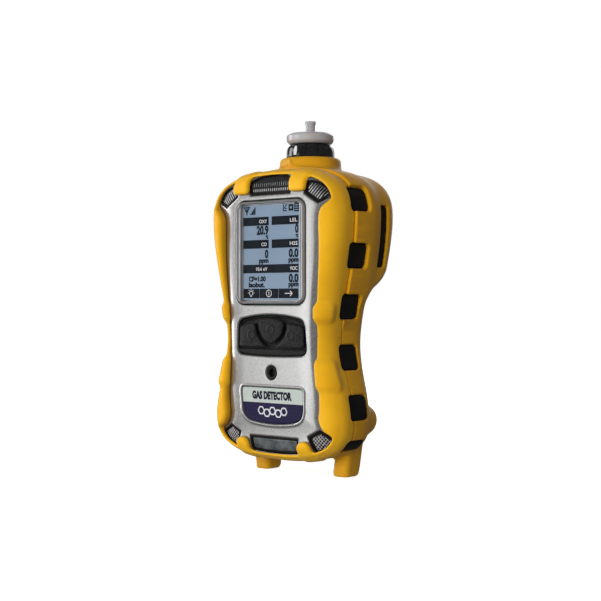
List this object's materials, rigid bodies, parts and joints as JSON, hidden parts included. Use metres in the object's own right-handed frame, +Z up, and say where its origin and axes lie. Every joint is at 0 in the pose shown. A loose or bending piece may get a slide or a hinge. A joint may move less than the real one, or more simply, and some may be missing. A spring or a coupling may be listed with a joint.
{
  "type": "portable multi-gas detector",
  "caption": "Handheld gas detector with a yellow rubber boot, display and keypad on the front, corner alarm lenses, a pumped inlet with a filter on top and a belt clip behind.",
  "frame": {"origin": "centre of the standing footprint's bounding box, at the underside of the two rear feet", "axes": "+Z up, the display faces -Y, +X to the right seen from the front, X = 0 is the plane of symmetry"},
  "size_m": [0.0966, 0.066, 0.2071],
  "materials": {
    "silver_paint": "fine metallic silver paint on moulded plastic",
    "bezel_paint": "satin silver paint",
    "yellow_rubber": "soft matt golden-yellow overmoulding",
    "display_glass": "clear hard-coated window",
    "lcd": "backlit liquid-crystal panel",
    "sheet_steel": "plain stamped steel",
    "spring_steel": "brushed spring steel",
    "screw_steel": "dark plated steel",
    "key_rubber": "matt black silicone rubber with a fine grain",
    "label_film": "white and navy polycarbonate film",
    "black_rubber": "matt black rubber",
    "black_plastic": "black moulded plastic with a fine texture",
    "alarm_lens": "smoke-grey ribbed light pipe",
    "circuit_board": "green solder mask",
    "gold_contact": "gold-plated brass",
    "filter_plastic": "frosted translucent plastic",
    "battery_cell": "shrink-wrapped lithium cell",
    "latch_plastic": "grey moulded plastic",
    "sensor_plastic": "pale moulded sensor body",
    "sensor_can": "metal sensor can",
    "motor_can": "zinc-plated motor can",
    "brass": "machined brass",
    "silicone": "translucent silicone hose"
  },
  "bodies": {
    "detector": {"front_cover": "silver_paint", "front_bumper": "yellow_rubber", "display_bezel": "bezel_paint", "display_window": "display_glass", "lcd_panel": "lcd", "lcd_frame": "sheet_steel", "keypad_base": "key_rubber", "label_plate": "label_film", "buzzer_grommet": "black_rubber", "buzzer": "black_plastic", "led_lens_top": "alarm_lens", "led_lens_top_right": "alarm_lens", "led_lens_top_left": "alarm_lens", "led_lens_bottom": "alarm_lens", "led_lens_bottom_right": "alarm_lens", "led_lens_bottom_left": "alarm_lens", "main_board": "circuit_board", "housing_gasket": "black_rubber", "rear_housing": "black_plastic", "rear_boot": "yellow_rubber", "sensor_cover": "black_plastic", "contact_block": "black_plastic", "exhaust_port": "black_plastic", "charge_contact_1": "gold_contact", "charge_contact_2": "gold_contact", "charge_contact_3": "gold_contact", "inlet_fitting": "black_plastic", "inlet_seal": "black_rubber", "battery_case": "black_plastic", "battery_cell_1": "battery_cell", "battery_cell_2": "battery_cell", "clip_bracket": "sheet_steel", "clip_pin": "sheet_steel", "sensor_manifold": "black_plastic", "oxygen_sensor": "sensor_plastic", "combustible_sensor": "sensor_can", "carbon_monoxide_sensor": "sensor_plastic", "hydrogen_sulfide_sensor": "sensor_plastic", "voc_sensor": "sensor_can", "pump_motor": "motor_can", "pump_head": "black_plastic", "pump_hose": "silicone", "vibration_motor": "motor_can", "sensor_cover_screw_1": "screw_steel", "case_screw_1": "screw_steel", "sensor_cover_screw_2": "screw_steel", "case_screw_2": "screw_steel", "sensor_cover_screw_3": "screw_steel", "case_screw_3": "screw_steel", "sensor_cover_screw_4": "screw_steel", "case_screw_4": "screw_steel"},
    "key_left": {"key_left": "key_rubber"},
    "key_mode": {"key_mode": "key_rubber"},
    "key_right": {"key_right": "key_rubber"},
    "nut": {"inlet_nut": "black_plastic"},
    "filter": {"inlet_filter": "filter_plastic"},
    "clip": {"belt_clip": "spring_steel"},
    "latch": {"battery_latch": "latch_plastic"},
    "pump_cam": {"pump_cam": "brass"},
    "vibration_weight": {"vibration_weight": "brass"}
  },
  "joints": [
    {"name": "key_left_press", "type": "slide", "parent": "detector", "child": "key_left", "axis": [0, 1, 0], "range_m": [0, 0.001], "stiffness_N_per_m": 1500, "springref_m": -0.001},
    {"name": "key_mode_press", "type": "slide", "parent": "detector", "child": "key_mode", "axis": [0, 1, 0], "range_m": [0, 0.001], "stiffness_N_per_m": 1500, "springref_m": -0.001},
    {"name": "key_right_press", "type": "slide", "parent": "detector", "child": "key_right", "axis": [0, 1, 0], "range_m": [0, 0.001], "stiffness_N_per_m": 1500, "springref_m": -0.001},
    {"name": "filter_lift", "type": "slide", "parent": "detector", "child": "filter", "axis": [0, 0, 1], "range_m": [0, 0.008]},
    {"name": "nut_turn", "type": "hinge", "parent": "filter", "child": "nut", "pos_m": [0, 0.0085, 0.1893], "axis": [0, 0, 1], "range_deg": [0, 720]},
    {"name": "clip_swing", "type": "hinge", "parent": "detector", "child": "clip", "pos_m": [0, 0.0214, 0.08], "axis": [1, 0, 0], "range_deg": [0, 25], "stiffness_Nm_per_rad": 0.35, "springref_deg": -6.88},
    {"name": "latch_slide", "type": "slide", "parent": "detector", "child": "latch", "axis": [0, 0, -1], "range_m": [0, 0.0035], "stiffness_N_per_m": 600, "springref_m": -0.001},
    {"name": "pump_spin", "type": "hinge", "parent": "detector", "child": "pump_cam", "pos_m": [0, -0.0036, 0.107], "axis": [1, 0, 0], "continuous": true},
    {"name": "vibrator_spin", "type": "hinge", "parent": "detector", "child": "vibration_weight", "pos_m": [0.022, -0.0116, 0.05], "axis": [0, 0, 1], "continuous": true}
  ],
  "couplings": [
    {"joint": "nut_turn", "follows": "filter_lift", "rad_per_m": 1570.7}
  ]
}
